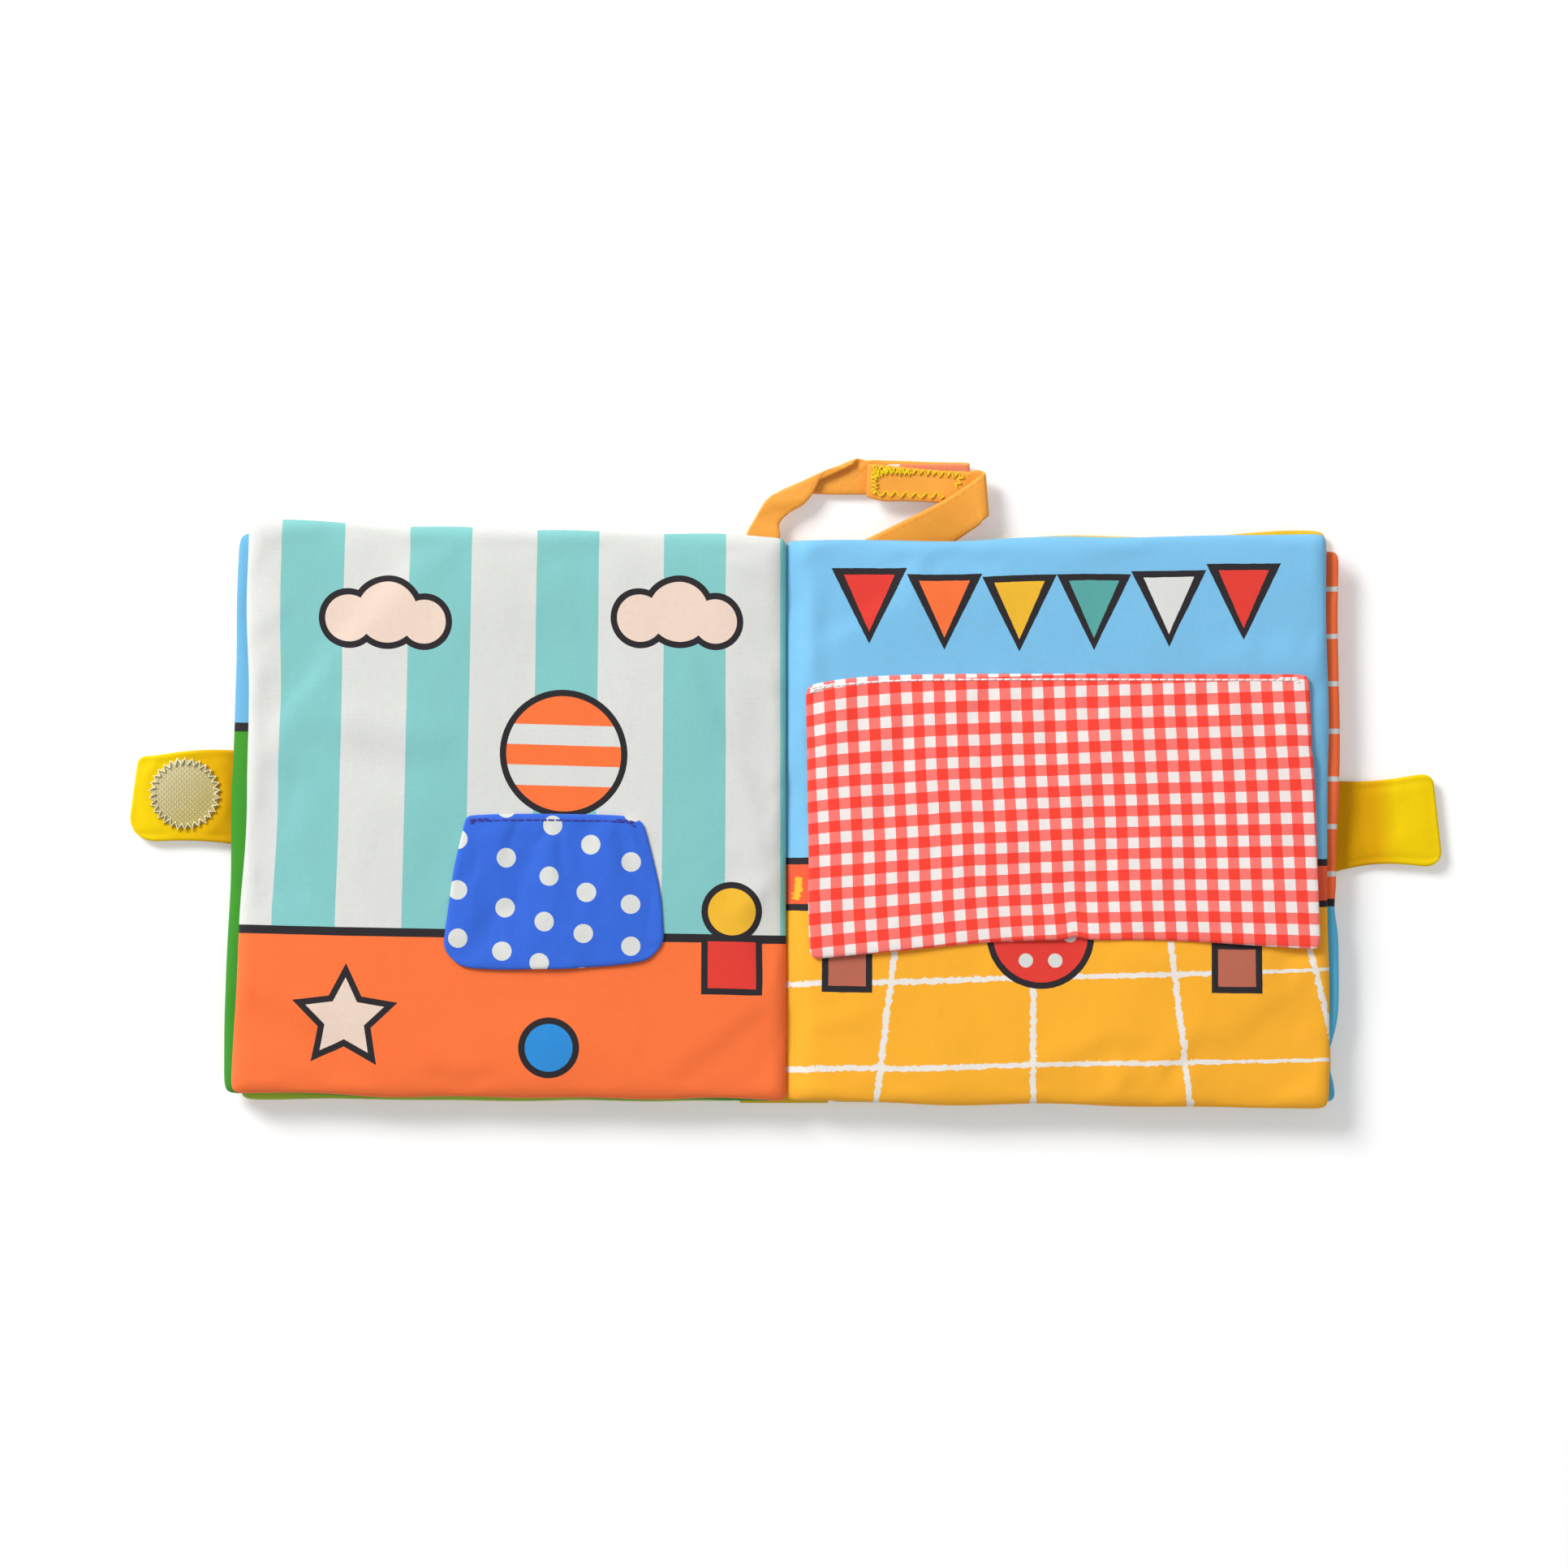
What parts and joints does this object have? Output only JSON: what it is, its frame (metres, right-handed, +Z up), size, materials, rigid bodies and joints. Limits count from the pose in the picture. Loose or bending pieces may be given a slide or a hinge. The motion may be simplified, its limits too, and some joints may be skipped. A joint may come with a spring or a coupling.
{
  "type": "soft cloth book",
  "caption": "Soft padded cloth book lying open, with lift-up fabric flaps, fastening side tabs and a hook-and-loop strap handle at its head.",
  "frame": {"origin": "under the middle of the open book's bounding box, on the surface that it lies on", "axes": "+X to the reader's right across the open book, +Y to the head of the pages, +Z up"},
  "size_m": [0.3896, 0.1926, 0.0134],
  "materials": {
    "cover_yellow": "satin",
    "cloth_white": "matte",
    "teal": "matte",
    "ink": "matte",
    "floor_orange": "matte",
    "sky": "matte",
    "grass": "matte",
    "wall_blue": "matte",
    "floor_yellow": "matte",
    "band_brown": "matte",
    "pool_blue": "matte",
    "tile_orange": "matte",
    "flap_blue": "matte",
    "light_red": "matte",
    "dark_red": "matte",
    "strap_orange": "satin",
    "patch_cream": "matte",
    "thread_yellow": "matte",
    "thread_blue": "matte",
    "thread_white": "matte",
    "peach": "matte",
    "toy_red": "matte",
    "toy_blue": "matte",
    "toy_yellow": "matte",
    "toy_teal": "matte",
    "toy_brown": "matte"
  },
  "bodies": {
    "front_half": {"front_cover": "cover_yellow", "left_under_leaf": "cloth_white", "left_under_sky": "sky", "left_under_line": "ink", "left_under_grass": "grass", "left_leaf": "cloth_white", "left_stripes": "teal", "left_wall": "cloth_white", "left_line": "ink", "left_floor": "floor_orange", "left_ink": "ink", "left_peach": "peach", "left_orange": "floor_orange", "left_white": "cloth_white", "left_red": "toy_red", "left_blue": "toy_blue", "left_yellow": "toy_yellow", "left_tab": "cover_yellow", "hook_patch": "patch_cream", "hook_patch_thread": "thread_yellow"},
    "dot_flap": {"dot_flap": "flap_blue", "dots": "cloth_white", "dot_flap_thread": "thread_blue"},
    "back_half": {"spine": "cover_yellow", "back_cover": "cover_yellow", "right_under_leaf": "cloth_white", "right_under_tiles": "tile_orange", "right_under_joints": "cloth_white", "right_under_line": "ink", "right_under_pool": "pool_blue", "right_leaf": "cloth_white", "right_wall": "wall_blue", "right_lines": "ink", "right_band": "band_brown", "right_floor": "floor_yellow", "right_tile_lines": "cloth_white", "right_ink": "ink", "right_red": "toy_red", "right_orange": "floor_orange", "right_yellow": "toy_yellow", "right_teal": "toy_teal", "right_white": "cloth_white", "right_brown": "toy_brown", "right_tab": "cover_yellow", "loop_patch": "patch_cream", "left_strap": "strap_orange", "right_strap": "strap_orange", "strap_loop_patch": "patch_cream", "strap_hook_patch": "patch_cream", "strap_thread": "thread_yellow"},
    "check_flap": {"check_flap": "cloth_white", "check_bands_down": "light_red", "check_bands_across": "light_red", "check_squares": "dark_red", "check_flap_thread": "thread_white"}
  },
  "joints": [
    {"name": "cover_fold", "type": "hinge", "parent": "back_half", "child": "front_half", "pos_m": [0, 0, 0.0134], "axis": [0, 1, 0], "range_deg": [0, 180], "deforming": ["spine"]},
    {"name": "dot_flap_lift", "type": "hinge", "parent": "front_half", "child": "dot_flap", "pos_m": [-0.06773, -0.00883, 0.0122], "axis": [-1, 0, 0], "range_deg": [0, 180]},
    {"name": "check_flap_lift", "type": "hinge", "parent": "back_half", "child": "check_flap", "pos_m": [0.08092, 0.0332, 0.0122], "axis": [-1, 0, 0], "range_deg": [0, 180]}
  ]
}
